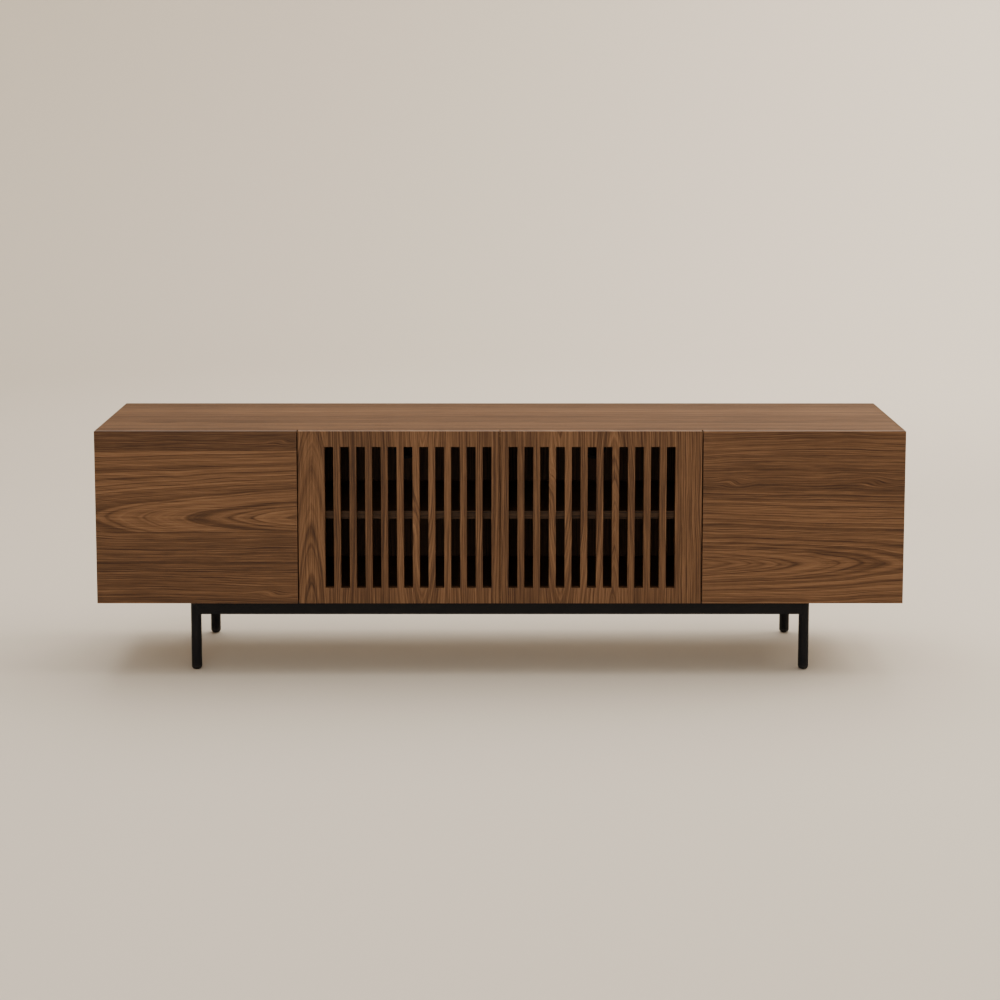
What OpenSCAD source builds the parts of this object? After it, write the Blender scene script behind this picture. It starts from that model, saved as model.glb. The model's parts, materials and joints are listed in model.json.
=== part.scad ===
// Media cabinet: a veneered box with four side-hung doors on a round-legged steel base.
// Millimetres. The origin is on the floor under the middle of the cabinet: X runs along its width,
// +Z is up, and the doors face -Y.

/* [Overall] */
// Width of the cabinet
cab_w = 2000; // [1500:10:2600]
// Depth from the face of the doors to the back
cab_d = 400; // [330:5:520]
// Height of the wooden box
box_h = 433; // [350:1:560]
// Height of the steel base, from the floor to the underside of the box
base_h = 184; // [130:1:260]

/* [Boards] */
// Thickness of the top, bottom, ends and partitions
board_t = 20; // [18:0.5:25]
// Thickness of the doors
door_t = 20; // [18:0.5:25]
// Thickness of the shelves
shelf_t = 20; // [16:0.5:25]
// Thickness of the back panels
back_t = 8; // [5:0.5:10]
// How far the back panels stand in from the back of the box
back_inset = 6; // [3:0.5:20]
// How far the shelves stand back from the front of the box
shelf_inset = 9; // [5:1:60]

/* [Doors] */
// Air between the doors and the box, which the push latch needs
door_air = 2; // [1.5:0.25:4]
// Gap between a plain door and a slatted door
outer_gap = 3; // [2.5:0.25:5]
// Gap where the two slatted doors meet
centre_gap = 2; // [1.5:0.25:4]
// Width of a slot in a slatted door
slot_w = 22; // [12:1:30]
// Width of the bar between two slots
slat_w = 17; // [12:1:30]
// Height of the solid rail above and below the slots
rail_h = 39; // [25:1:90]
// Width of the solid stile where the slatted doors meet
inner_stile = 20; // [16:1:60]
// Least width of the solid stile that carries the hinges
hinge_stile = 62; // [55:1:120]

/* [Hinges] */
// Radius of the hinge cup
cup_r = 17.5; // [13:0.5:17.5]
// Depth of the hinge cup in the door
cup_depth = 12.5; // [10:0.5:13.5]
// Distance from the edge of the door to the cup
cup_edge = 5; // [3:0.5:7]
// Distance from the end of the door to the middle of a hinge
hinge_end = 90; // [60:1:130]
// How far in from the door's edge the equivalent turning axis lies
pivot_in = 4; // [3:0.25:5]
// How far behind the door's face the equivalent turning axis lies
pivot_back = 4.5; // [3.5:0.25:6]
// Distance from the front of the box to the screws of a mounting plate
plate_setback = 37; // [28:1:37]

// How far a hinge link turns for each degree that its door turns
link_ratio = 0.68; // [0:0.01:1]

/* [Push latches] */
// Distance from the partition to the middle of a latch
latch_side = 18; // [17:1:40]
// Radius of the plunger
plunger_r = 4; // [3:0.5:5]
// Length of the latch housing
latch_l = 70; // [50:1:90]

// How far a plunger comes out while its door opens fully
plunger_travel = 14; // [5:1:20]

/* [Base] */
// Radius of the legs
leg_r = 13; // [10:0.5:20]
// Distance from the end of the box to the middle of a leg
leg_side = 236; // [60:1:320]
// Distance from the front or back of the box to the middle of a leg
leg_inset = 33; // [25:1:80]
// Height of the rails
rail_tube_h = 40; // [25:1:60]
// Thickness of the rails
rail_tube_t = 25; // [18:0.5:26]
// Wall of the tubes
tube_wall = 2; // [1.5:0.25:3]
// Height of the rounded foot below each leg
foot_h = 12; // [10:1:20]
// Radius of the rounding under a foot
foot_round = 9; // [3:0.5:9.5]

/* [Cables] */
// Radius of the cable hole in each middle back panel
cable_r = 30; // [20:1:40]
// Wall of the plastic liner in a cable hole
liner_wall = 2.5; // [1.5:0.5:5]

/* [Opening] */
// Widest angle that a door opens to
door_limit = 95; // [80:1:95]
// Angle at which the doors are drawn
door_open = 0; // [0:5:95]

/* [Hidden] */
$fn = 64;

// Clearances
fit = 0.05;          // around pins, screws and dowels
groove_play = 0.1;   // on each side of a panel in its groove
slide_play = 0.1;    // between a plunger and its housing
shelf_play = 1;      // at each end and at the back of a shelf
link_play = 0.2;     // between the nose of a hinge arm and the plates beside it
strike_play = 0.2;   // between a plunger and its strike plate
weld_gap = 0.05;     // where two tubes are welded

// Levels and depths of the box
box_z0 = base_h;
box_z1 = base_h + box_h;
in_z0 = box_z0 + board_t;
in_z1 = box_z1 - board_t;
half_w = cab_w / 2;
face_y = -cab_d / 2;
door_back_y = face_y + door_t;
front_y = door_back_y + door_air;
back_y = cab_d / 2;
box_d = back_y - front_y;
bay_w = cab_w / 4;
panel_y1 = back_y - back_inset;
panel_y0 = panel_y1 - back_t;
groove_d = 6;
tongue_in = 5.5;     // how far a back panel reaches into its groove
liner_flange = 4;    // how far the flange of a cable liner stands out past its hole
liner_flange_t = 1.5;

// The four bays, each from its left inner wall to its right inner wall
bay_x = [
    [-half_w + board_t, -bay_w - board_t / 2],
    [-bay_w + board_t / 2, -board_t / 2],
    [board_t / 2, bay_w - board_t / 2],
    [bay_w + board_t / 2, half_w - board_t]
];

// Shelves, at half the height inside
shelf_z = (in_z0 + in_z1) / 2 - shelf_t / 2;
shelf_y0 = front_y + shelf_inset;
shelf_y1 = panel_y0 - shelf_play;
pin_r = 2.5;
pin_head_r = 3.5;
pin_in = 8;
pin_out = 8;
pin_from_edge = 40;
pin_z = shelf_z - pin_head_r;

// Dowels through the ends of the partitions
dowel_r = 4;
dowel_in_board = 10;
dowel_in_partition = 20;
dowel_from_edge = 40;
dowel_y = [front_y + dowel_from_edge, (front_y + panel_y0) / 2, panel_y0 - dowel_from_edge];

// Loose tongues across the mitres
tongue_t = 4;
tongue_w = 12;
tongue_stop = 20;

// Doors
plain_w = half_w - bay_w - outer_gap / 2;
slatted_w = bay_w - outer_gap / 2 - centre_gap / 2;
plain_edge = half_w;
slatted_edge = bay_w - outer_gap / 2;
pitch = slot_w + slat_w;
slots = floor((slatted_w - inner_stile - hinge_stile + slat_w) / pitch);
slot_h = box_h - 2 * rail_h;

// Hinges, in a door's own plan: u runs in from the hinged edge, v runs back from the door
hinge_z = [box_z0 + hinge_end, box_z1 - hinge_end];
cup_u = cup_edge + cup_r;
cup_wall = 1;
flange_t = 1;
flange_r = cup_r + 1.5;
cup_screw_u = cup_u + 9.5;
cup_screw_z = 22.5;
cup_screw_r = 1.6;
cup_screw_l = 13;
wing_h = 56;
wing_corner = 4;
plain_overlay = board_t;
slatted_overlay = board_t / 2 - outer_gap / 2;
plate_t = 5;
plate_v = door_air + plate_setback;
plate_screw_z = 16;
plate_screw_r = 1.8;
plate_screw_l = 15;
arm_w = 15;
arm_h = 9;
arm_wall = 1.2;
arm_v0 = 8;
arm_v1 = 68;
nose_u = 24;
nose_v = -2;
nose_t = 6;
nose_r = 2.2;
link_pin_r = 1.5;
link_plate_t = 1.5;
link_l = 7;
link_angle = 200;
link_tip_r = 1.3;
link_half_w = 1;
link_tip_pin_r = 0.9;

// Push latches
latch_x = [
    -bay_w - board_t / 2 - latch_side, -board_t / 2 - latch_side,
    board_t / 2 + latch_side, bay_w + board_t / 2 + latch_side
];
latch_w = 14;
latch_h = 15;
latch_foot_w = 34;
latch_foot_t = 3;
latch_foot_l = 40;
latch_front = front_y + 1;
latch_z = in_z1 - latch_h / 2 - 1;
latch_screw_x = 12;
latch_screw_r = 1.6;
latch_screw_l = 15;
strike_r = 7.5;
strike_t = 1;
plunger_l = 52;

// Base
leg_x = half_w - leg_side;
leg_y = [front_y + leg_inset, back_y - leg_inset];
tab_w = 50;
tab_l = 30;
tab_t = 3;
tab_x = [-leg_x + 70, 0, leg_x - 70];
base_screw_r = 2;
base_screw_l = 15;
foot_plug_l = 20;

walnut = [0.40, 0.27, 0.18];
dark_walnut = [0.34, 0.22, 0.15];
ply = [0.72, 0.58, 0.40];
black_steel = [0.09, 0.09, 0.09];
nickel = [0.72, 0.72, 0.70];
black_plastic = [0.12, 0.12, 0.12];

// ---------- helpers ----------

// A block between two corners
module block(low, high) {
    translate(low) cube(high - low);
}

// The same piece on the right side (side = 1) or mirrored to the left (side = -1)
module on_side(side) {
    if (side > 0) children();
    else mirror([1, 0, 0]) children();
}

// A door's own plan: X is u, in from the hinged edge, and Y is v, back from the door's back face
module door_plan(edge, side) {
    on_side(side) translate([edge, door_back_y, 0]) mirror([1, 0, 0]) children();
}

// The middles of a door's two hinges
module at_hinges(edge, side) {
    for (z = hinge_z) door_plan(edge, side) translate([0, 0, z]) children();
}

// A cylinder along v, from v0 to v1
module rod_v(r, u, z, v0, v1) {
    translate([u, v1, z]) rotate([90, 0, 0]) cylinder(r = r, h = v1 - v0);
}

// A cylinder along u, from u0 to u1
module rod_u(r, v, z, u0, u1) {
    translate([u0, v, z]) rotate([0, 90, 0]) cylinder(r = r, h = u1 - u0);
}

// An upright cylinder
module rod_z(r, x, y, z0, z1) {
    translate([x, y, z0]) cylinder(r = r, h = z1 - z0);
}

// A rectangle with round corners, centred
module round_rect(w, h, r) {
    square([w - 2 * r, h], center = true);
    square([w, h - 2 * r], center = true);
    for (x = [-1, 1], y = [-1, 1]) translate([x * (w / 2 - r), y * (h / 2 - r)]) circle(r);
}

// Turns a door and what is fixed to it about the equivalent axis of its hinges
module opened(edge, side) {
    axis = [edge - pivot_in, face_y + pivot_back, 0];
    on_side(side) translate(axis) rotate(door_open) translate(-axis) on_side(side) children();
}

// ---------- the wooden box ----------

// Holes for the dowels of the three partitions
module dowel_holes(z0, z1) {
    for (x = [-bay_w, 0, bay_w], y = dowel_y) rod_z(dowel_r + fit, x, y, z0, z1);
}

// The place of one loose tongue across a mitre, or the groove for it
module corner_tongue(side, z, up, play) {
    l = box_d - 2 * tongue_stop + 2 * play;
    on_side(side) translate([half_w - board_t / 2, front_y + box_d / 2, z]) rotate([0, up * 45, 0])
        cube([tongue_w + 2 * play, l, tongue_t + 2 * play], center = true);
}

module tongue_grooves(z, up) {
    for (side = [-1, 1]) corner_tongue(side, z, up, groove_play);
}

// Grooves for the back panels, as wide as the panels and their play
module back_groove(low_x, high_x, low_z, high_z) {
    block([low_x, panel_y0 - groove_play, low_z], [high_x, panel_y1 + groove_play, high_z]);
}

// A board of the box's outline, mitred at both ends; up = 1 for the top, -1 for the bottom
module mitred_board(up) {
    z = up > 0 ? box_z1 : box_z0;
    inner = z - up * board_t;
    outline = [
        [-half_w, z], [half_w, z], [half_w - board_t, inner], [-half_w + board_t, inner]
    ];
    translate([0, back_y, 0]) rotate([90, 0, 0]) linear_extrude(box_d) polygon(outline);
}

module top_board() {
    color(walnut) difference() {
        mitred_board(1);
        tongue_grooves(box_z1 - board_t / 2, 1);
        dowel_holes(in_z1 - 1, in_z1 + dowel_in_board + 0.5);
        for (b = bay_x) back_groove(b[0] - groove_d, b[1] + groove_d, in_z1 - 1, in_z1 + groove_d);
        for (x = latch_x, s = [-1, 1])
            rod_z(latch_screw_r + fit, x + s * latch_screw_x,
                latch_front + latch_foot_l / 2, in_z1 - 1, in_z1 + latch_screw_l - latch_foot_t + 0.5);
    }
}

module bottom_board() {
    color(dark_walnut) difference() {
        mitred_board(-1);
        tongue_grooves(box_z0 + board_t / 2, -1);
        dowel_holes(in_z0 - dowel_in_board - 0.5, in_z0 + 1);
        for (b = bay_x) back_groove(b[0] - groove_d, b[1] + groove_d, in_z0 - groove_d, in_z0 + 1);
        for (p = tab_places())
            rod_z(base_screw_r + fit, p[0], p[1], box_z0 - 1, box_z0 + base_screw_l - tab_t + 0.5);
    }
}

module end_board(side) {
    outline = [
        [half_w, box_z0], [half_w, box_z1], [half_w - board_t, in_z1], [half_w - board_t, in_z0]
    ];
    inner = half_w - board_t;
    color(walnut) difference() {
        on_side(side) translate([0, back_y, 0]) rotate([90, 0, 0]) linear_extrude(box_d) polygon(outline);
        corner_tongue(side, box_z1 - board_t / 2, 1, groove_play);
        corner_tongue(side, box_z0 + board_t / 2, -1, groove_play);
        on_side(side) back_groove(inner - 1, inner + groove_d, in_z0 - groove_d, in_z1 + groove_d);
        on_side(side) wall_holes(inner, 1);
        plate_screw_holes(plain_edge, side, plain_overlay);
    }
}

// Holes for shelf pins in a wall whose face is at x; dir is the way into the wall
module wall_holes(x, dir) {
    for (y = [shelf_y0 + pin_from_edge, shelf_y1 - pin_from_edge])
        translate([dir > 0 ? x - 1 : x - pin_in - 0.5, y, pin_z]) rotate([0, 90, 0])
            cylinder(r = pin_r + fit, h = pin_in + 1.5);
}

module plate_screw_holes(edge, side, overlay) {
    at_hinges(edge, side) for (s = [-1, 1])
        rod_u(plate_screw_r + fit, plate_v, s * plate_screw_z, overlay - plate_screw_l + plate_t - 0.5,
            overlay + 1);
}

module partition(x) {
    side = x < 0 ? -1 : 1;
    color(dark_walnut) difference() {
        block([x - board_t / 2, front_y, in_z0], [x + board_t / 2, back_y, in_z1]);
        back_groove(x - board_t / 2 - 1, x - board_t / 2 + groove_d, in_z0 - 1, in_z1 + 1);
        back_groove(x + board_t / 2 - groove_d, x + board_t / 2 + 1, in_z0 - 1, in_z1 + 1);
        wall_holes(x + board_t / 2, -1);
        wall_holes(x - board_t / 2, 1);
        for (y = dowel_y) {
            rod_z(dowel_r + fit, x, y, in_z0 - 1, in_z0 + dowel_in_partition + 0.5);
            rod_z(dowel_r + fit, x, y, in_z1 - dowel_in_partition - 0.5, in_z1 + 1);
        }
        if (x != 0) plate_screw_holes(slatted_edge, side, slatted_overlay);
    }
}

// A back panel in its four grooves; the middle ones have a cable hole in the upper half of the bay
module back_panel(bay, with_hole) {
    x = bay_x[bay];
    color(dark_walnut) difference() {
        block([x[0] - tongue_in, panel_y0, in_z0 - tongue_in], [x[1] + tongue_in, panel_y1, in_z1 + tongue_in]);
        if (with_hole) cable_rod(bay, cable_r, panel_y0 - 1, panel_y1 + 1);
    }
}

// A cylinder along Y at the place of a bay's cable hole
module cable_rod(bay, r, y0, y1) {
    x = bay_x[bay];
    translate([(x[0] + x[1]) / 2, y1, (shelf_z + shelf_t + in_z1) / 2]) rotate([90, 0, 0])
        cylinder(r = r, h = y1 - y0);
}

// Flanged rings that line the cable holes of the two middle bays
module cable_liners() {
    front = panel_y0 - liner_flange_t;
    color(black_plastic) for (bay = [1, 2]) difference() {
        union() {
            cable_rod(bay, cable_r - fit, front, panel_y1);
            cable_rod(bay, cable_r + liner_flange, front, panel_y0);
        }
        cable_rod(bay, cable_r - liner_wall, front - 1, panel_y1 + 1);
    }
}

module shelf(bay) {
    x = bay_x[bay];
    color(dark_walnut)
        block([x[0] + shelf_play, shelf_y0, shelf_z], [x[1] - shelf_play, shelf_y1, shelf_z + shelf_t]);
}

// Each pin has a shank in the wall and a thicker head under the shelf
module shelf_pin(x, y, dir) {
    translate([x, y, pin_z]) rotate([0, dir * 90, 0]) {
        translate([0, 0, -pin_in]) cylinder(r = pin_r, h = pin_in + 1);
        cylinder(r = pin_head_r, h = pin_out);
    }
}

module shelf_pins() {
    color(nickel) for (x = bay_x, y = [shelf_y0 + pin_from_edge, shelf_y1 - pin_from_edge]) {
        shelf_pin(x[0], y, 1);
        shelf_pin(x[1], y, -1);
    }
}

module dowels() {
    color(ply) for (x = [-bay_w, 0, bay_w], y = dowel_y) {
        rod_z(dowel_r, x, y, in_z0 - dowel_in_board, in_z0 + dowel_in_partition);
        rod_z(dowel_r, x, y, in_z1 - dowel_in_partition, in_z1 + dowel_in_board);
    }
}

module corner_tongues() {
    color(ply) for (side = [-1, 1]) {
        corner_tongue(side, box_z1 - board_t / 2, 1, 0);
        corner_tongue(side, box_z0 + board_t / 2, -1, 0);
    }
}

// ---------- the steel base ----------

function tab_places() = [
    for (x = tab_x, end = [0, 1])
        [x, leg_y[end] + (end == 0 ? 1 : -1) * (rail_tube_t / 2 + tab_l / 2)]
];

module legs_cut() {
    for (x = [-leg_x, leg_x], y = leg_y) rod_z(leg_r + weld_gap, x, y, foot_h, base_h + 1);
}

// A long rail between the two legs at one depth, coped to the legs
module long_rail(y) {
    z0 = base_h - rail_tube_h;
    t = rail_tube_t / 2;
    color(black_steel) difference() {
        block([-leg_x, y - t, z0], [leg_x, y + t, base_h]);
        block([-leg_x - 1, y - t + tube_wall, z0 + tube_wall], [leg_x + 1, y + t - tube_wall, base_h - tube_wall]);
        legs_cut();
    }
}

// A short rail from front to back, coped to the legs and butted against the long rails
module side_rail(side) {
    z0 = base_h - rail_tube_h;
    t = rail_tube_t / 2;
    x = side * leg_x;
    color(black_steel) difference() {
        block([x - t, leg_y[0], z0], [x + t, leg_y[1], base_h]);
        block([x - t + tube_wall, leg_y[0] - 1, z0 + tube_wall], [x + t - tube_wall, leg_y[1] + 1, base_h - tube_wall]);
        for (y = leg_y)
            block([-leg_x - weld_gap, y - t - weld_gap, z0 - 1], [leg_x + weld_gap, y + t + weld_gap, base_h + 1]);
        legs_cut();
    }
}

module leg(x, y) {
    color(black_steel) difference() {
        rod_z(leg_r, x, y, foot_h, base_h);
        rod_z(leg_r - tube_wall, x, y, foot_h - 1, base_h - tube_wall);
    }
}

module foot_glides() {
    color(black_plastic) for (x = [-leg_x, leg_x], y = leg_y) translate([x, y, 0]) foot_glide();
}

// A rounded foot below the leg, with a plug that is pressed up into the tube
module foot_glide() {
    flat_r = leg_r - foot_round;
    rotate_extrude() {
        square([flat_r, foot_h]);
        translate([0, foot_round]) square([leg_r, foot_h - foot_round]);
        intersection() {
            translate([flat_r, foot_round]) circle(foot_round);
            translate([flat_r, 0]) square(foot_round);
        }
        translate([0, foot_h - 1]) square([leg_r - tube_wall - fit, foot_plug_l + 1]);
    }
}

module fixing_tabs() {
    color(black_steel) for (p = tab_places()) difference() {
        block([p[0] - tab_w / 2, p[1] - tab_l / 2, base_h - tab_t], [p[0] + tab_w / 2, p[1] + tab_l / 2, base_h]);
        rod_z(base_screw_r + 0.5, p[0], p[1], base_h - tab_t - 1, base_h + 1);
    }
}

// A screw with a pan head, drawn along +Z with the underside of its head at the origin
module pan_screw(r, l, head_r, head_h) {
    cylinder(r = r, h = l);
    translate([0, 0, -head_h]) cylinder(r1 = head_r * 0.72, r2 = head_r, h = head_h / 2);
    translate([0, 0, -head_h / 2]) cylinder(r = head_r, h = head_h / 2);
}

module base_screws() {
    color(nickel) for (p = tab_places())
        translate([p[0], p[1], base_h - tab_t]) pan_screw(base_screw_r, base_screw_l, 4.5, 3);
}

// ---------- hinges ----------

// One arm: a channel over its mounting plate, with a nose that carries the link's pin
module hinge_arm(overlay) {
    u0 = overlay + plate_t;
    u1 = u0 + arm_h;
    difference() {
        union() {
            difference() {
                block([u0, arm_v0, -arm_w / 2], [u1, arm_v1, arm_w / 2]);
                block([u0 - 1, arm_v0 + 8, -arm_w / 2 + arm_wall], [u1 - arm_wall, arm_v1 + 1, arm_w / 2 - arm_wall]);
            }
            translate([0, 0, -nose_t / 2]) linear_extrude(nose_t) {
                polygon([
                    [nose_u - nose_r, nose_v], [nose_u + nose_r, nose_v],
                    [u1 - 0.5, arm_v0 + 4], [u0 + 0.5, arm_v0 + 4]
                ]);
                translate([nose_u, nose_v]) circle(nose_r);
            }
        }
        rod_z(link_pin_r + fit, nose_u, nose_v, -nose_t, nose_t);
    }
}

module hinge_arms() {
    color(nickel) for (side = [-1, 1]) {
        at_hinges(plain_edge, side) hinge_arm(plain_overlay);
        at_hinges(slatted_edge, side) hinge_arm(slatted_overlay);
    }
}

// A cross-shaped mounting plate, screwed to the end board or the partition
module hinge_plate(overlay) {
    difference() {
        union() {
            block([overlay, plate_v - 8, -26], [overlay + 2, plate_v + 8, 26]);
            block([overlay, plate_v - 20, -8], [overlay + plate_t, plate_v + 22, 8]);
        }
        for (s = [-1, 1])
            rod_u(plate_screw_r + 0.3, plate_v, s * plate_screw_z, overlay - 1, overlay + plate_t + 1);
    }
}

module hinge_plates() {
    color(nickel) for (side = [-1, 1]) {
        at_hinges(plain_edge, side) hinge_plate(plain_overlay);
        at_hinges(slatted_edge, side) hinge_plate(slatted_overlay);
    }
}

module plate_screws() {
    color(nickel) for (side = [-1, 1], o = [[plain_edge, plain_overlay], [slatted_edge, slatted_overlay]])
        at_hinges(o[0], side) for (s = [-1, 1])
            translate([o[1] + 2, plate_v, s * plate_screw_z]) rotate([0, -90, 0])
                pan_screw(plate_screw_r, plate_screw_l - plate_t + 2, 3.2, 2);
}

// The cups of one door, each with a flange on the door's back face
module hinge_cups(edge, side) {
    color(nickel) opened(edge, side) at_hinges(edge, side) difference() {
        union() {
            rod_v(cup_r, cup_u, 0, -cup_depth, flange_t);
            rod_v(flange_r, cup_u, 0, 0, flange_t);
            translate([cup_u + 8, flange_t, 0]) rotate([90, 0, 0]) linear_extrude(flange_t)
                round_rect(18, wing_h, wing_corner);
        }
        rod_v(cup_r - cup_wall, cup_u, 0, -cup_depth + cup_wall, flange_t + 1);
        for (s = [-1, 1]) rod_v(cup_screw_r + 0.2, cup_screw_u, s * cup_screw_z, -1, flange_t + 1);
    }
}

module cup_screws(edge, side) {
    color(nickel) opened(edge, side) at_hinges(edge, side) for (s = [-1, 1])
        translate([cup_screw_u, flange_t, s * cup_screw_z]) rotate([90, 0, 0])
            pan_screw(cup_screw_r, cup_screw_l, 3.2, 1.8);
}

// The links of one door: two plates on a pin through the nose of the arm, joined by a pin at their tips
module hinge_links(edge, side) {
    tip = link_l * [cos(link_angle), sin(link_angle)];
    z0 = nose_t / 2 + link_play;
    turn = door_open * link_ratio;
    color(nickel) at_hinges(edge, side) translate([nose_u, nose_v, 0]) rotate(turn) {
        rod_z(link_pin_r, 0, 0, -z0 - 0.5, z0 + 0.5);
        rod_z(link_tip_pin_r, tip[0], tip[1], -z0 - 0.5, z0 + 0.5);
        for (s = [-1, 1]) translate([0, 0, s > 0 ? z0 : -z0 - link_plate_t]) linear_extrude(link_plate_t) {
            circle(nose_r);
            rotate(link_angle) translate([0, -link_half_w]) square([link_l, 2 * link_half_w]);
            translate(tip) circle(link_tip_r);
        }
    }
}

// ---------- push latches ----------

module latch_housings() {
    color(black_plastic) for (x = latch_x) difference() {
        union() {
            block([x - latch_w / 2, latch_front, in_z1 - latch_h], [x + latch_w / 2, latch_front + latch_l, in_z1]);
            block([x - latch_foot_w / 2, latch_front, in_z1 - latch_foot_t],
                [x + latch_foot_w / 2, latch_front + latch_foot_l, in_z1]);
        }
        translate([x, latch_front + latch_l - 4, latch_z]) rotate([90, 0, 0])
            cylinder(r = plunger_r + slide_play, h = latch_l);
        for (s = [-1, 1])
            rod_z(latch_screw_r + 0.3, x + s * latch_screw_x, latch_front + latch_foot_l / 2,
                in_z1 - latch_foot_t - 1, in_z1 + 1);
    }
}

module latch_screws() {
    color(nickel) for (x = latch_x, s = [-1, 1])
        translate([x + s * latch_screw_x, latch_front + latch_foot_l / 2, in_z1 - latch_foot_t])
            pan_screw(latch_screw_r, latch_screw_l, 3, 1.8);
}

// A plunger that just clears its strike plate when the door is shut
module latch_plunger(bay) {
    out = plunger_travel * door_open / door_limit;
    tip_y = door_back_y + strike_t + strike_play - out;
    color(black_plastic) translate([latch_x[bay], tip_y, latch_z]) rotate([-90, 0, 0]) {
        cylinder(r1 = plunger_r - 1, r2 = plunger_r, h = 1);
        translate([0, 0, 1]) cylinder(r = plunger_r, h = plunger_l - 1);
    }
}

module strike_plate(edge, side, bay) {
    color(nickel) opened(edge, side) translate([latch_x[bay], door_back_y + strike_t, latch_z]) rotate([90, 0, 0])
        cylinder(r = strike_r, h = strike_t);
}

// ---------- doors ----------

// A door board with the bores for its two cups and their screws
module door_board(edge, side, width) {
    difference() {
        door_plan(edge, side) block([0, -door_t, box_z0], [width, 0, box_z1]);
        at_hinges(edge, side) {
            rod_v(cup_r + fit, cup_u, 0, -cup_depth - fit, 1);
            for (s = [-1, 1])
                rod_v(cup_screw_r + fit, cup_screw_u, s * cup_screw_z, flange_t - cup_screw_l - 0.5, 1);
        }
    }
}

module door_plain(side) {
    color(walnut) opened(plain_edge, side) door_board(plain_edge, side, plain_w);
}

// The slots start at the stile where the two doors meet
module door_slatted(side) {
    color(walnut) opened(slatted_edge, side) difference() {
        door_board(slatted_edge, side, slatted_w);
        door_plan(slatted_edge, side) for (i = [0 : slots - 1]) {
            u = slatted_w - inner_stile - slot_w - i * pitch;
            block([u, -door_t - 1, box_z0 + rail_h], [u + slot_w, 1, box_z0 + rail_h + slot_h]);
        }
    }
}

top_board();
bottom_board();
end_board(-1);  // end_board_left
end_board(1);  // end_board_right
partition(-bay_w);  // partition_left
partition(0);  // partition_centre
partition(bay_w);  // partition_right
back_panel(0, false);  // back_panel_far_left
back_panel(1, true);  // back_panel_mid_left
back_panel(2, true);  // back_panel_mid_right
back_panel(3, false);  // back_panel_far_right
shelf(0);  // shelf_far_left
shelf(1);  // shelf_mid_left
shelf(2);  // shelf_mid_right
shelf(3);  // shelf_far_right
shelf_pins();
dowels();
corner_tongues();
long_rail(leg_y[0]);  // front_rail
long_rail(leg_y[1]);  // back_rail
side_rail(-1);  // side_rail_left
side_rail(1);  // side_rail_right
leg(-leg_x, leg_y[0]);  // leg_front_left
leg(leg_x, leg_y[0]);  // leg_front_right
leg(-leg_x, leg_y[1]);  // leg_back_left
leg(leg_x, leg_y[1]);  // leg_back_right
foot_glides();
fixing_tabs();
base_screws();
hinge_arms();
hinge_plates();
plate_screws();
latch_housings();
latch_screws();
cable_liners();
door_plain(-1);  // door_plain_left
door_slatted(-1);  // door_slatted_left
door_slatted(1);  // door_slatted_right
door_plain(1);  // door_plain_right
hinge_cups(plain_edge, -1);  // hinge_cups_plain_left
hinge_cups(slatted_edge, -1);  // hinge_cups_slatted_left
hinge_cups(slatted_edge, 1);  // hinge_cups_slatted_right
hinge_cups(plain_edge, 1);  // hinge_cups_plain_right
cup_screws(plain_edge, -1);  // cup_screws_plain_left
cup_screws(slatted_edge, -1);  // cup_screws_slatted_left
cup_screws(slatted_edge, 1);  // cup_screws_slatted_right
cup_screws(plain_edge, 1);  // cup_screws_plain_right
hinge_links(plain_edge, -1);  // hinge_links_plain_left
hinge_links(slatted_edge, -1);  // hinge_links_slatted_left
hinge_links(slatted_edge, 1);  // hinge_links_slatted_right
hinge_links(plain_edge, 1);  // hinge_links_plain_right
latch_plunger(0);  // latch_plunger_plain_left
latch_plunger(1);  // latch_plunger_slatted_left
latch_plunger(2);  // latch_plunger_slatted_right
latch_plunger(3);  // latch_plunger_plain_right
strike_plate(plain_edge, -1, 0);  // strike_plate_plain_left
strike_plate(slatted_edge, -1, 1);  // strike_plate_slatted_left
strike_plate(slatted_edge, 1, 2);  // strike_plate_slatted_right
strike_plate(plain_edge, 1, 3);  // strike_plate_plain_right
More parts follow.
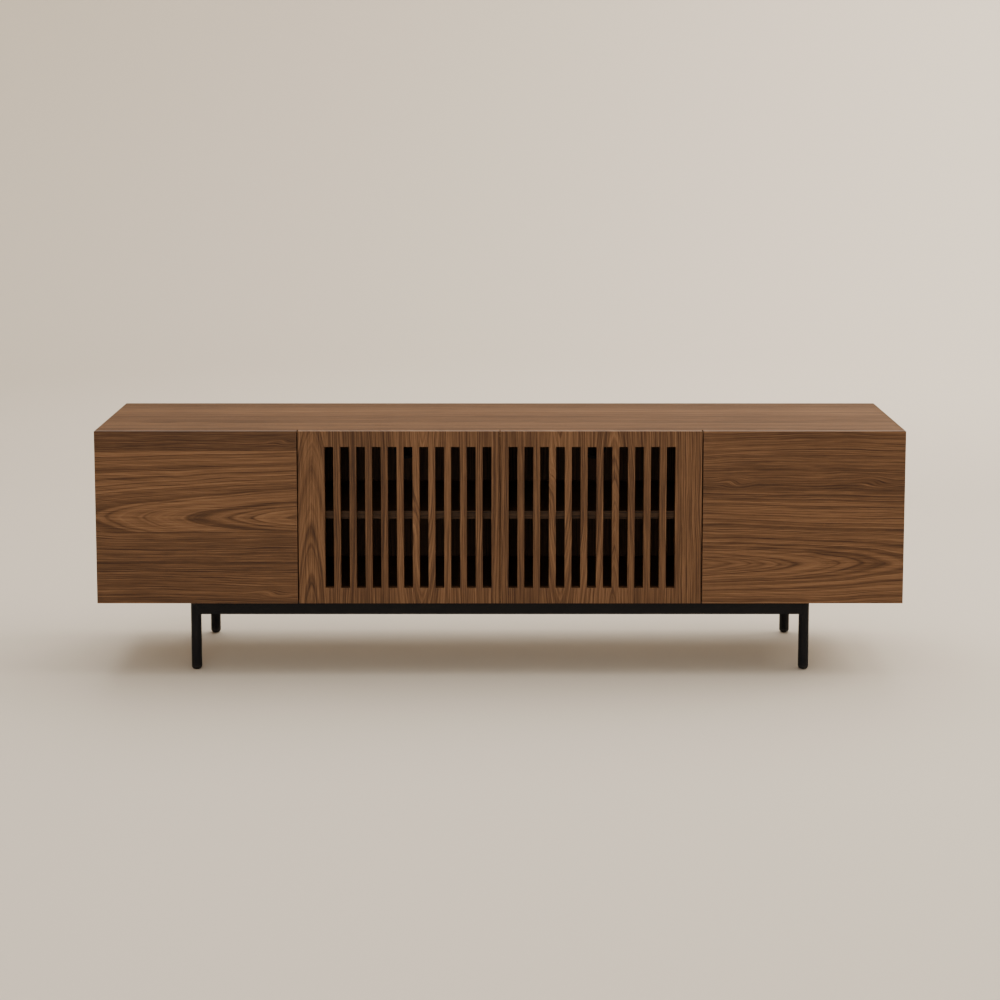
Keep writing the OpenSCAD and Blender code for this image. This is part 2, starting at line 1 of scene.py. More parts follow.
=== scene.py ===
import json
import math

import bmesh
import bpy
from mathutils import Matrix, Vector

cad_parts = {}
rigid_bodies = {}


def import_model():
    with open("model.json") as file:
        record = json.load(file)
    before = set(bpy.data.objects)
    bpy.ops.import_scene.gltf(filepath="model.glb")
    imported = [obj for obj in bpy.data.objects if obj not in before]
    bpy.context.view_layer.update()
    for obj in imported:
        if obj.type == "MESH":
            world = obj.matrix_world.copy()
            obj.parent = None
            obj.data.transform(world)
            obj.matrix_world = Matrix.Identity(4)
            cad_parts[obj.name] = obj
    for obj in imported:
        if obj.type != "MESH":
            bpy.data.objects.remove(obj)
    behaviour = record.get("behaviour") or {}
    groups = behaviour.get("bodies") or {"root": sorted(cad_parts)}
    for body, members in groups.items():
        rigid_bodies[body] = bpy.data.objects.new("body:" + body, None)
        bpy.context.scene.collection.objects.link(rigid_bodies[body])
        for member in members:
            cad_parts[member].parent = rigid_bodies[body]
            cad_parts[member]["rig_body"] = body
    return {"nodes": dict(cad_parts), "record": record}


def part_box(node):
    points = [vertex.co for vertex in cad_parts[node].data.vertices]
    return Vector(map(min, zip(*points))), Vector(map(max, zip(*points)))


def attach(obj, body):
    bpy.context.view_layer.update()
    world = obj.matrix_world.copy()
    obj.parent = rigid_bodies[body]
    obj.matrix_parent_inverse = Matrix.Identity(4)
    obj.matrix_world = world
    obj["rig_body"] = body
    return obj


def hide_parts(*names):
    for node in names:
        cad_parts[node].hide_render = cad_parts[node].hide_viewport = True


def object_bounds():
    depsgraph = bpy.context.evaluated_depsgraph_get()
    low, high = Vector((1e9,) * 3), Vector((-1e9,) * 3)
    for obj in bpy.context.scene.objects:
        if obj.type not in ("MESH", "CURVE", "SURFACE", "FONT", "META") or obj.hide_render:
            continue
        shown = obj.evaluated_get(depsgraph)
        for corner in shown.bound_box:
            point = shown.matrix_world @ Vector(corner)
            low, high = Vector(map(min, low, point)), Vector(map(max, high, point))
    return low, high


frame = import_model()

# %% [markdown]
# # A long media cabinet in walnut veneer
#
# The frame loaded above is the finished model from the drawing office: 59 exact nodes, each in its
# place. This notebook dresses them. It never moves them. Every cell makes one kind of thing, and most
# of them print what they made, so the notebook can be followed from top to bottom.

cad_low, cad_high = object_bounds()
print(len(frame["nodes"]), "nodes, which measure", [round(v, 3) for v in cad_high - cad_low], "metres")

# %% [markdown]
# ## Camera
#
# A long piece of furniture looks best from well back, where its ends don't splay. The camera looks a
# little down, and its lens is shifted as on a view camera, so that the verticals stay nearly upright.
# The shift is kept small: the same camera can then walk round the piece without cutting it off.

# %% Camera
CAMERA_PLACE = (0.0, -4.6754, 1.4733)
CAMERA_DOWN = 5.5203  # degrees
LENS = 66.374  # millimetres
SENSOR = 36
SHIFT = -0.24


def make_camera():
    """A still camera with a slightly shifted lens, everything in focus."""
    lens = bpy.data.cameras.new("camera")
    lens.lens = LENS
    lens.sensor_width = SENSOR
    lens.shift_y = SHIFT
    lens.dof.use_dof = False
    camera = bpy.data.objects.new("camera", lens)
    camera.location = CAMERA_PLACE
    camera.rotation_euler = (math.radians(90 - CAMERA_DOWN), 0, 0)
    bpy.context.scene.collection.objects.link(camera)
    bpy.context.scene.camera = camera


make_camera()
print("camera", LENS, "mm,", round(-CAMERA_PLACE[1], 2), "m in front of the cabinet")

# %% [markdown]
# ## Shader kit
#
# Wood is drawn with sums: distances from a pith, waves, noises. Written as nodes one by one, such sums
# are unreadable, so a small class wraps a socket and lets Python's own operators add the Math nodes.
# Every other node comes from one method, `Paint.node`.


# %% Shader kit
class Value:
    """A number in a shader tree. Its operators add Math nodes."""

    def __init__(self, paint, socket):
        self.paint = paint
        self.socket = socket

    def math(self, operation, *others, **settings):
        settings["operation"] = operation
        return self.paint.node("Math", settings, dict(enumerate((self, *others))))

    def __add__(self, other):
        return self.math("ADD", other)

    def __sub__(self, other):
        return self.math("SUBTRACT", other)

    def __rsub__(self, other):
        return self.paint.node("Math", {"operation": "SUBTRACT"}, {0: other, 1: self})

    def __mul__(self, other):
        return self.math("MULTIPLY", other)

    def __pow__(self, other):
        return self.math("POWER", other)

    __radd__ = __add__
    __rmul__ = __mul__

    def clamped(self):
        return self.math("ADD", 0.0, use_clamp=True)

    def step(self, low, high):
        """0 below low, 1 above high, and smooth between them."""
        sockets = {"Value": self, "From Min": low, "From Max": high}
        return self.paint.node("MapRange", {"interpolation_type": "SMOOTHSTEP"}, sockets)


class Paint:
    """A material in the making: a surface shader and the tree that feeds it."""

    def __init__(self, name):
        self.material = bpy.data.materials.new(name)
        self.material.use_nodes = True
        self.tree = self.material.node_tree
        self.surface = self.tree.nodes["Principled BSDF"]
        self.place = self.node("TexCoord", output="Object")
        parts = self.node("SeparateXYZ", None, {0: self.place}).socket.node
        self.x, self.y, self.z = (Value(self, out) for out in parts.outputs)

    def plug(self, socket, value):
        if isinstance(value, Value):
            self.tree.links.new(value.socket, socket)
        else:
            socket.default_value = value

    def node(self, kind, settings=None, sockets=None, output=0):
        """Adds a node: its settings first, then the values or links of its sockets."""
        made = self.tree.nodes.new("ShaderNode" + kind)
        for key, value in (settings or {}).items():
            if key == "stops":
                ramp = made.color_ramp.elements
                while len(ramp) < len(value):
                    ramp.new(0.5)
                for element, (position, colour) in zip(ramp, value):
                    element.position = position
                    element.color = (*colour, 1.0)
            else:
                setattr(made, key, value)
        for key, value in (sockets or {}).items():
            self.plug(made.inputs[key], value)
        return Value(self, made.outputs[output])

    def vector(self, x, y, z):
        return self.node("CombineXYZ", None, {0: x, 1: y, 2: z})

    def noise(self, place, scale, detail=2.0, roughness=0.5):
        sockets = {"Vector": place, "Scale": scale, "Detail": detail, "Roughness": roughness}
        return self.node("TexNoise", None, sockets)

    def grained(self, along, across, changes, seed=0.0, detail=2.0, roughness=0.5):
        """Noise drawn out along the grain: `changes` says how quickly it changes along, across and
        from front to back."""
        place = self.vector(along * changes[0] + seed, across * changes[1], self.y * changes[2])
        return self.noise(place, 1.0, detail, roughness)

    def noise_along(self, distance, scale, detail, roughness):
        """Noise that changes in one direction only."""
        sockets = {"W": distance, "Scale": scale, "Detail": detail, "Roughness": roughness}
        return self.node("TexNoise", {"noise_dimensions": "1D"}, sockets)

    def mix(self, factor, first, second):
        """A colour between two colours."""
        sockets = {0: factor, 6: first, 7: second}
        return self.node("Mix", {"data_type": "RGBA"}, sockets, output=2)

    def blend(self, factor, first, second):
        """A number between two numbers."""
        sockets = {0: factor, 2: first, 3: second}
        return self.node("Mix", {"data_type": "FLOAT"}, sockets)

    def bump(self, height, strength, distance):
        """Raises the surface by a height: `distance` is the full rise in metres."""
        sockets = {"Height": height, "Strength": strength, "Distance": distance}
        self.plug(self.surface.inputs["Normal"], self.node("Bump", None, sockets))

    def set(self, **sockets):
        """Feeds the surface shader: an underscore in a name stands for a space."""
        for key, value in sockets.items():
            self.plug(self.surface.inputs[key.replace("_", " ")], value)
        return self.material


# %% [markdown]
# ## Walnut veneer
#
# Veneer is a sheet sliced off a log, so its figure is where the sheet cuts the growth rings. A ring is
# a tube round the pith. Where the sheet runs beside the pith the tube's cut is a straight line; where
# the log tapers through the sheet, the cuts close into the arches that joiners call cathedrals. So each
# leaf of veneer here is described as a saw mill would: where its pith line runs, how deep the pith lies
# below the sheet, and how fast it dives. A straight-grained leaf just has its pith a long way off.
#
# Leaves are laid side by side across the sheet, each with its own tone. Fine fibres and open pores
# run over all of them, stretched along the grain.

# %% Walnut veneer
WALNUT_DARK = (0.030, 0.0130, 0.0062)
WALNUT_MIDDLE = (0.1015, 0.0482, 0.0213)
WALNUT_LIGHT = (0.213, 0.1120, 0.0550)
# Painted shade: the inner side of a board is painted this share as bright as its outer side
INSIDE_PAINTED_SHADE = 0.45


def leaf(low, pith, depth, rings, dive=0.0, start=0.0, tone=0.0, contrast=1.0):
    """One strip of veneer, which begins at `low` across the grain and runs to the next one. The pith
    lies at `pith`, `depth` below the sheet at `start`, and goes down by `dive` for each metre. `rings`
    says how close its rings are."""
    return {
        "low": low, "pith": pith, "depth": depth, "dive": dive, "start": start,
        "rings": rings, "tone": tone, "contrast": contrast,
    }


# Lines of one leaf: how much finer than its rings, and how strong, each kind of line is
LATE_WOOD = {"finer": 0.8, "sharp": 15.0, "strength": 0.62, "from": 3.1}
EARLY_WOOD = {"finer": 3.4, "strength": 1.1, "from": 7.3}
RING_STRENGTH = 0.95
RING_LEVEL = 0.16
ARCH_POINT = 0.12  # sharpens the tips of the arches


def ring_lines(paint, along, across, strip):
    """Dark and light lines where the sheet cuts the rings of one leaf."""
    below = (along - strip["start"]) * strip["dive"] + strip["depth"]
    aside = across - strip["pith"]
    radius = (aside * aside + below * below) ** 0.5 + aside.math("ABSOLUTE") * ARCH_POINT
    rings = strip["rings"]
    coarse = paint.noise_along(radius, rings, detail=3.0, roughness=0.6)
    late = paint.noise_along(
        radius + LATE_WOOD["from"], rings * LATE_WOOD["finer"], detail=2.0, roughness=0.6)
    fine = paint.noise_along(
        radius + EARLY_WOOD["from"], rings * EARLY_WOOD["finer"], detail=2.0, roughness=0.7)
    boundary = 1 - ((late - 0.5).math("ABSOLUTE") * LATE_WOOD["sharp"]).clamped()
    lines = (coarse - 0.5) * RING_STRENGTH + (fine - 0.5) * EARLY_WOOD["strength"]
    lines = lines - boundary * LATE_WOOD["strength"] + RING_LEVEL
    return lines * strip["contrast"] + strip["tone"]


KNOT_PUSH = 0.85
KNOT_SKEW = 0.35


def round_a_knot(paint, along, across, knot):
    """Spreads the lines near one place, as they part round a hidden knot and close again after it."""
    place, middle, length, width = knot
    offset = (along - place) * (1 / length)
    aside = (across - middle) * (1 / width)
    near = (1 - (offset * offset + aside * aside)).clamped() ** 2
    return across - (across - middle) * near * KNOT_PUSH + near * offset * width * KNOT_SKEW


# Noises in the sheet: their changes for each metre along, across and through it
SLOW_WAVES = (2.2, 7.0, 0.0)
QUICK_WAVES = (14.0, 60.0, 0.0)
FIBRES = (9.0, 900.0, 300.0)
STREAKS = (6.0, 300.0, 0.0)
PORES = (60.0, 2400.0, 400.0)
# How far the waves push the lines, in metres
SLOW_BEND = 0.030
QUICK_BEND = 0.0036
QUICK_PUSH = 0.016
JOINT = 0.0004  # half the width of a joint between two leaves
# The part of each thing in the tone of the wood
FIGURE_SHARE = 0.62
FIBRE_SHARE = 1.0
STREAK_SHARE = 1.5
CLOUD_SHARE = 0.30
PORE_SHADE = 0.35
GLUE_SHADE = 0.55
PORE_START, PORE_FULL = 0.60, 0.72  # the heights of the noise where a pore begins and is open
MIDDLE_TONE = 0.45


def walnut(name, along, across, leaves, seed, inner_face=None, glue_line=None, brightness=1.0,
           gloss=0.2, knots=()):
    """Walnut veneer. `along` and `across` give the directions of the grain on the sheet as sums of
    coordinates, `inner_face` masks the inner side of the board, which gets painted shade,
    `glue_line` masks the seams on its edges, and `knots` are places (along, across, length, width)
    where the lines part. A `brightness` below 1 is painted shade over the whole board."""
    paint = Paint(name)
    along, across = along(paint), across(paint)
    slow = paint.grained(along, across, SLOW_WAVES, seed)
    quick = paint.grained(along, across, QUICK_WAVES, seed)
    bent = across + (slow - 0.5) * SLOW_BEND + (quick - 0.5) * QUICK_BEND
    pushed = along + (quick - 0.5) * QUICK_PUSH
    for knot in knots:
        bent = round_a_knot(paint, along, bent, knot)
    figure = ring_lines(paint, pushed, bent, leaves[0])
    for strip in leaves[1:]:
        past_joint = across.step(strip["low"] - JOINT, strip["low"] + JOINT)
        figure = paint.blend(past_joint, figure, ring_lines(paint, pushed, bent, strip))
    fibres = paint.grained(along, bent, FIBRES, detail=3.0, roughness=0.65)
    streaks = paint.grained(along, bent, STREAKS, seed, detail=3.0, roughness=0.7)
    dark_pores = paint.grained(along, bent, PORES, seed, detail=1.0).step(PORE_START, PORE_FULL)
    tone = figure * FIGURE_SHARE + (fibres - 0.5) * FIBRE_SHARE
    tone = tone + (streaks - 0.5) * STREAK_SHARE + (slow - 0.5) * CLOUD_SHARE + 0.5
    stops = [(0.0, WALNUT_DARK), (MIDDLE_TONE, WALNUT_MIDDLE), (1.0, WALNUT_LIGHT)]
    wood = paint.node("ValToRGB", {"stops": stops}, {0: tone.clamped()})
    colour = paint.mix(dark_pores * PORE_SHADE, wood, (*WALNUT_DARK, 1.0))
    # Painted shade: `brightness` darkens the whole board, and its inner side is darker still
    shade = brightness
    if inner_face:
        shade = paint.blend(inner_face(paint), brightness, INSIDE_PAINTED_SHADE * brightness)
    if glue_line:
        shade = shade * (1 - glue_line(paint) * GLUE_SHADE)
    scaled = paint.node("VectorMath", {"operation": "SCALE"}, {0: colour, "Scale": shade})
    paint.bump(fibres * 0.6 - dark_pores * 0.8, strength=0.22, distance=0.0004)
    return paint.set(Base_Color=scaled, Roughness=fibres * 0.16 + 0.44, Specular_IOR_Level=gloss)


# %% [markdown]
# ## Metal, nylon and beech
#
# Powder coat is sprayed on dry and baked, so it has a fine pebbled skin. Nickel-plated pressings show
# the rolling direction of their strip. Moulded nylon is even and slightly waxy. The loose tongues and
# dowels are beech, straight-grained and pale.


# %% Metal, nylon and beech
# The darkest and the lightest tone of each
POWDER_TONES = (0.0042, 0.0044, 0.0058, 1.0), (0.0068, 0.0070, 0.0088, 1.0)
NICKEL_TONES = (0.50, 0.48, 0.45, 1.0), (0.66, 0.65, 0.62, 1.0)
NYLON_TONES = (0.0045, 0.0045, 0.0048, 1.0), (0.0085, 0.0085, 0.0090, 1.0)
BEECH_TONES = (0.44, 0.27, 0.145, 1.0), (0.62, 0.43, 0.26, 1.0)
# How many changes there are for each metre
PEBBLES = 900.0
WEAR = 14.0
ROLLED = (300.0, 60.0, 2500.0)
HAZE = 60.0
MOULD_SKIN = 1400.0
MOULD_FLOW = 40.0
BEECH_FLECKS = (700.0, 40.0, 700.0)
BEECH_BANDS = (90.0, 3.0, 90.0)


def stretched(paint, changes, detail=2.0, roughness=0.5):
    """Noise with its own fineness along each of X, Y and Z."""
    place = paint.vector(paint.x * changes[0], paint.y * changes[1], paint.z * changes[2])
    return paint.noise(place, 1.0, detail, roughness)


def powder_coat():
    paint = Paint("black_powder_coat")
    pebbles = paint.noise(paint.place, PEBBLES)
    shade = paint.mix(paint.noise(paint.place, WEAR, detail=3.0, roughness=0.6), *POWDER_TONES)
    paint.bump(pebbles, strength=0.25, distance=0.0003)
    return paint.set(Base_Color=shade, Roughness=pebbles * 0.16 + 0.44, Specular_IOR_Level=0.13)


def nickel():
    paint = Paint("nickel_plate")
    rolled = stretched(paint, ROLLED)
    haze = paint.noise(paint.place, HAZE, detail=3.0)
    paint.bump(rolled, strength=0.10, distance=0.0002)
    shade = paint.mix(haze, *NICKEL_TONES)
    return paint.set(Base_Color=shade, Metallic=1.0, Roughness=rolled * 0.18 + haze * 0.12 + 0.20)


def nylon():
    paint = Paint("black_nylon")
    skin = paint.noise(paint.place, MOULD_SKIN)
    shade = paint.mix(paint.noise(paint.place, MOULD_FLOW), *NYLON_TONES)
    paint.bump(skin, strength=0.12, distance=0.0002)
    return paint.set(Base_Color=shade, Roughness=skin * 0.15 + 0.46, Specular_IOR_Level=0.25)


def beech():
    paint = Paint("beech")
    flecks = stretched(paint, BEECH_FLECKS, detail=3.0, roughness=0.6)
    bands = stretched(paint, BEECH_BANDS)
    shade = paint.mix(flecks * 0.6 + bands * 0.4, *BEECH_TONES)
    paint.bump(flecks, strength=0.15, distance=0.0003)
    return paint.set(Base_Color=shade, Roughness=flecks * 0.2 + 0.45)


POWDER = powder_coat()
NICKEL = nickel()
NYLON = nylon()
BEECH = beech()
print("mixed:", POWDER.name, NICKEL.name, NYLON.name, BEECH.name)

# %% [markdown]
# ## Laying out the veneers
#
# The plain doors have their grain lying down, the slatted doors have it standing up. On every door the
# veneer is laid as one sheet before the slots are cut, so its figure runs on through rails and bars.

# %% Laying out the veneers
FACE = cad_low.y
DOOR_FRONT, DOOR_REAR = (corner.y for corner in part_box("door_plain_left"))
VENEER = 0.0006
MASK_EDGE = 0.0002
# Painted shade: the top's colour is darkened to offset the light that falls on it from above
TOP_SHADED_BRIGHTNESS = 0.88
TOP_GLOSS = 0.04
# Painted shade: the shelves, partitions and back panels inside the cabinet are painted at this
# brightness
INNER_SHADED_BRIGHTNESS = 0.5
SLANT = 0.5  # how far the lines shift over the depth of an edge, for each metre of depth
SHELF_SLANT = 0.4
SEAM_SHARPNESS = 6000.0


def lying_grain(paint):
    return paint.x


def standing_grain(paint):
    return paint.z


def up_a_front(paint):
    """Across a front whose grain lies down. The depth is added so that edges show lines too."""
    return paint.z + (paint.y - FACE) * SLANT


def over_a_front(paint):
    """Across a front whose grain stands up."""
    return paint.x + (paint.y - FACE) * SLANT


def over_a_flat_board(paint):
    """Front to back. The height is added, so that the board's long edges show lines too."""
    return paint.y + (paint.z - cad_high.z)


def over_an_upright_board(paint):
    """The same for the ends, so that the lines of the top run on over the mitre."""
    return paint.y + (paint.x.math("ABSOLUTE") - cad_high.x)


def over_a_shelf(paint):
    return paint.y + paint.z * SHELF_SLANT


def past(axis, place, side):
    """A mask of what lies beyond a place: side 1 for above it, -1 for below it."""
    def mask(paint):
        beyond = getattr(paint, axis).step(place - MASK_EDGE, place + MASK_EDGE)
        return beyond if side > 0 else 1 - beyond
    return mask


def seam(paint):
    """The glue lines just under both faces of a door, seen on its edges."""
    from_middle = (paint.y - (DOOR_FRONT + DOOR_REAR) / 2).math("ABSOLUTE")
    from_seam = from_middle - ((DOOR_REAR - DOOR_FRONT) / 2 - 2 * VENEER)
    return 1 - (from_seam.math("ABSOLUTE") * SEAM_SHARPNESS).clamped()


# Painted shade on the back face of each door
DOOR_BACK = past("y", DOOR_REAR - VENEER, 1)

DOOR_LEAVES = {
    "door_plain_left": [
        leaf(0.00, pith=-0.30, depth=0.02, rings=210, tone=-0.10),
        leaf(0.365, pith=0.402, depth=0.010, dive=-0.130, start=-0.50, rings=72, tone=0.13),
        leaf(0.568, pith=0.95, depth=0.02, rings=260, tone=-0.30, contrast=0.9),
    ],
    "door_plain_right": [
        leaf(0.00, pith=0.285, depth=0.012, dive=0.085, start=0.50, rings=78, tone=0.12),
        leaf(0.449, pith=0.34, depth=0.03, dive=0.05, start=0.4, rings=200, tone=-0.12),
        leaf(0.530, pith=-0.30, depth=0.03, rings=240, tone=0.02),
    ],
    "door_slatted_left": [
        leaf(-0.60, pith=-0.466, depth=0.010, dive=0.110, start=0.10, rings=80, tone=0.07),
        leaf(-0.425, pith=-0.80, depth=0.02, rings=220, tone=-0.12),
        leaf(-0.270, pith=-0.190, depth=0.012, dive=-0.080, start=0.70, rings=130, tone=0.12),
        leaf(-0.125, pith=0.30, depth=0.02, rings=200, tone=-0.04),
    ],
    "door_slatted_right": [
        leaf(-0.05, pith=-0.40, depth=0.02, rings=220, tone=-0.08),
        leaf(0.105, pith=0.150, depth=0.012, dive=-0.090, start=0.65, rings=130, tone=0.10),
        leaf(0.235, pith=0.282, depth=0.010, dive=0.085, start=0.15, rings=130, tone=0.03),
        leaf(0.360, pith=0.95, depth=0.02, rings=240, tone=0.05),
    ],
}
DOOR_KNOTS = {
    "door_plain_left": [(-0.53, 0.592, 0.05, 0.020), (-0.57, 0.212, 0.07, 0.024)],
    "door_plain_right": [(0.58, 0.492, 0.06, 0.024), (0.93, 0.490, 0.07, 0.022)],
    "door_slatted_left": [(0.40, -0.215, 0.13, 0.030)],
    "door_slatted_right": [(0.50, 0.129, 0.14, 0.028), (0.34, 0.300, 0.10, 0.022)],
}
TOP_LEAVES = [
    leaf(-0.30, pith=-0.75, depth=0.02, rings=210, tone=0.20, contrast=2.0),
    leaf(-0.075, pith=0.60, depth=0.02, rings=190, tone=-0.02, contrast=2.0),
    leaf(0.030, pith=-0.90, depth=0.02, rings=220, tone=0.22, contrast=1.8),
    leaf(0.130, pith=0.70, depth=0.02, rings=180, tone=-0.05, contrast=2.0),
]
END_LEAVES = [{**strip, "contrast": 1.0} for strip in TOP_LEAVES]
STRAIGHT = [leaf(-1.0, pith=-0.8, depth=0.02, rings=220, contrast=0.9)]

DOOR_GRAIN = {
    "door_plain_left": (lying_grain, up_a_front, 3.1),
    "door_plain_right": (lying_grain, up_a_front, 8.7),
    "door_slatted_left": (standing_grain, over_a_front, 5.2),
    "door_slatted_right": (standing_grain, over_a_front, 1.9),
}
BOARD_VENEER = {}
for door, (along, across, seed) in DOOR_GRAIN.items():
    BOARD_VENEER[door] = walnut(
        door + "_veneer", along, across, DOOR_LEAVES[door], seed, DOOR_BACK, seam,
        knots=DOOR_KNOTS[door])
# The inner sides of the top, bottom and end boards get painted shade
BOARD_VENEER["top_board"] = walnut(
    "top_veneer", lying_grain, over_a_flat_board, TOP_LEAVES, 6.4,
    past("z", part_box("top_board")[0].z + VENEER, -1), brightness=TOP_SHADED_BRIGHTNESS, gloss=TOP_GLOSS)
BOARD_VENEER["bottom_board"] = walnut(
    "bottom_veneer", lying_grain, over_a_flat_board, STRAIGHT, 2.4,
    past("z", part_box("bottom_board")[0].z + VENEER, 1))
for side, inner_corner, way in (("left", 1, 1), ("right", 0, -1)):
    end = "end_board_" + side
    BOARD_VENEER[end] = walnut(
        "end_" + side + "_veneer", standing_grain, over_an_upright_board, END_LEAVES, 6.4,
        past("x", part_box(end)[inner_corner].x - way * VENEER, way))

# Shelves, partitions and back panels are painted darker, as painted shade inside the cabinet
SHELF_VENEER = walnut(
    "shelf_veneer", lying_grain, over_a_shelf, STRAIGHT, 9.1, brightness=INNER_SHADED_BRIGHTNESS)
PARTITION_VENEER = walnut(
    "partition_veneer", standing_grain, over_an_upright_board, STRAIGHT, 4.4,
    brightness=INNER_SHADED_BRIGHTNESS)
BACK_VENEER = walnut(
    "back_panel_veneer", standing_grain, over_a_front, STRAIGHT, 7.7,
    brightness=INNER_SHADED_BRIGHTNESS)
print("veneers laid out:", len(bpy.data.materials), "materials so far")

# %% [markdown]
# ## Easing the edges
#
# A sawn board never leaves the bench with razor edges: a fine paper takes half a millimetre off every
# long arris, and that line of light is what makes it read as wood. The frame's own mesh is never
# touched. Each finished piece starts as a copy, welded and cleared of needless edges, and only its long
# straight edges are eased, so the drilled holes stay exact.

# %% Easing the edges
MATERIAL_SLOTS = {part["node"]: part["material_slot"] for part in frame["record"]["subparts"]}
FLAT_ENOUGH = math.radians(0.5)
SHARP_ENOUGH = math.radians(35)
WELD = 1e-6
BOARD_EASE = 0.0005
BOARD_SHORT_EDGE = 0.012


def cleaned(mesh):
    """A mesh in a bmesh, its corners joined and its flat faces made whole."""
    work = bmesh.new()
    work.from_mesh(mesh)
    bmesh.ops.remove_doubles(work, verts=work.verts, dist=WELD)
    bmesh.ops.dissolve_limit(work, angle_limit=FLAT_ENOUGH, verts=work.verts, edges=work.edges)
    return work


def eased(name, work, width, shortest):
    """Rounds the long outer edges of a bmesh and gives the result as a mesh."""
    sharp = [
        edge for edge in work.edges
        if edge.is_convex and edge.calc_length() > shortest
        and edge.calc_face_angle(0.0) > SHARP_ENOUGH
    ]
    bmesh.ops.bevel(
        work, geom=sharp, offset=width, segments=2, profile=0.5, affect="EDGES", clamp_overlap=True)
    mesh = bpy.data.meshes.new(name)
    work.to_mesh(mesh)
    work.free()
    return mesh


def place_piece(mesh, body, material, finish_slot, nodes=(), round_below=None):
    """Puts a finished mesh in the scene, on its body, in place of nodes of the frame."""
    mesh.materials.clear()
    mesh.materials.append(material)
    if round_below:
        mesh.shade_smooth()
        mesh.set_sharp_from_angle(angle=math.radians(round_below))
    piece = bpy.data.objects.new(mesh.name, mesh)
    bpy.context.scene.collection.objects.link(piece)
    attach(piece, body)
    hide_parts(*nodes)
    return piece


def finish(node, material, width=BOARD_EASE, shortest=BOARD_SHORT_EDGE, round_below=None, mesh=None):
    """A finished piece in place of one node, from the node's own mesh or from another."""
    work = cleaned(mesh or frame["nodes"][node].data)
    done = eased("finished_" + node, work, width, shortest)
    body = frame["nodes"][node]["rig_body"]
    return place_piece(done, body, material, MATERIAL_SLOTS[node], [node], round_below)


BAYS = ("far_left", "mid_left", "mid_right", "far_right")
for board in ("top_board", "bottom_board", "end_board_left", "end_board_right",
              "door_plain_left", "door_plain_right"):
    finish(board, BOARD_VENEER[board])
for which in ("left", "centre", "right"):
    finish("partition_" + which, PARTITION_VENEER)
for bay in BAYS:
    finish("back_panel_" + bay, BACK_VENEER)
    finish("shelf_" + bay, SHELF_VENEER)

# %% [markdown]
# ## Geometry kit
#
# What repeats is described once and placed by rule, as a jig does in a workshop. A Geometry Nodes tree
# is such a jig: its sizes are named inputs, and one tree fills all the places of its kind. The result is
# turned into plain mesh before it goes on the cabinet, because a node tree can't be sent to other
# programs.


# %% Geometry kit
class Jig:
    """A Geometry Nodes tree in the making, with named sizes as its inputs."""

    def __init__(self, name, sizes):
        self.tree = bpy.data.node_groups.new(name, "GeometryNodeTree")
        self.tree.interface.new_socket("Start", in_out="INPUT", socket_type="NodeSocketGeometry")
        self.tree.interface.new_socket("Piece", in_out="OUTPUT", socket_type="NodeSocketGeometry")
        self.settings = {}
        for label, value in sizes.items():
            kind = {tuple: "Vector", int: "Int", float: "Float"}[type(value)]
            socket = self.tree.interface.new_socket(
                label, in_out="INPUT", socket_type="NodeSocket" + kind)
            self.settings[socket.identifier] = value
        self.inputs = self.tree.nodes.new("NodeGroupInput").outputs

    def node(self, kind, sockets=None, output=0, **settings):
        """Adds a node: its settings first, then the values or links of its sockets."""
        made = self.tree.nodes.new(kind)
        for key, value in settings.items():
            setattr(made, key, value)
        for key, value in (sockets or {}).items():
            for one in value if isinstance(value, list) else [value]:
                if isinstance(one, bpy.types.NodeSocket):
                    self.tree.links.new(one, made.inputs[key])
                else:
                    made.inputs[key].default_value = one
        return made.outputs[output]

    def sum(self, first, operation, second):
        """One step of arithmetic."""
        return self.node("ShaderNodeMath", {0: first, 1: second}, operation=operation)

    def moved(self, piece, up):
        """A piece moved along Z."""
        place = self.node("ShaderNodeCombineXYZ", {"Z": up})
        return self.node("GeometryNodeTransform", {"Geometry": piece, "Translation": place})

    def repeated(self, piece, points, **more):
        sockets = {"Points": points, "Instance": piece, **more}
        return self.node("GeometryNodeInstanceOnPoints", sockets)

    def row(self, count, first, step):
        """Points in a row."""
        return self.node(
            "GeometryNodeMeshLine", {"Count": count, "Start Location": first, "Offset": step})

    def cut(self, piece, *cutters):
        sockets = {"Mesh 1": piece, "Mesh 2": list(cutters)}
        return self.node("GeometryNodeMeshBoolean", sockets, operation="DIFFERENCE")

    def run(self, name, piece, material, start=None):
        """Ends the tree, evaluates it and gives the result as a plain mesh."""
        real = self.node("GeometryNodeRealizeInstances", {"Geometry": piece})
        painted = self.node("GeometryNodeSetMaterial", {"Geometry": real, "Material": material})
        self.tree.links.new(painted, self.tree.nodes.new("NodeGroupOutput").inputs[0])
        bench = bpy.data.objects.new(name, start or bpy.data.meshes.new(name))
        bpy.context.scene.collection.objects.link(bench)
        modifier = bench.modifiers.new("jig", "NODES")
        modifier.node_group = self.tree
        for identifier, value in self.settings.items():
            modifier[identifier] = value
        view = bpy.context.evaluated_depsgraph_get()
        mesh = bpy.data.meshes.new_from_object(bench.evaluated_get(view))
        bench.modifiers.remove(modifier)
        bpy.data.objects.remove(bench)
        mesh.name = name
        return mesh


# %% [markdown]
# ## Slatted doors
#
# A slatted door of this kind is one veneered panel. A router with a fence cuts eleven equal slots
# through it, stepping by one slot and one bar each time, starting from the stile where the doors meet.
# The hinge cups are bored from behind. The jig below does the same: a blank, a row of slot cutters,
# and two cup cutters.

# %% Slatted doors
SLOTS = 11
SLOT_WIDTH = 0.022
BAR_WIDTH = 0.017
INNER_STILE = 0.020
RAIL = 0.039
CUP_RADIUS = 0.01755
CUP_DEPTH = 0.01255
CUP_FROM_END = 0.090
CUP_SIDES = 64


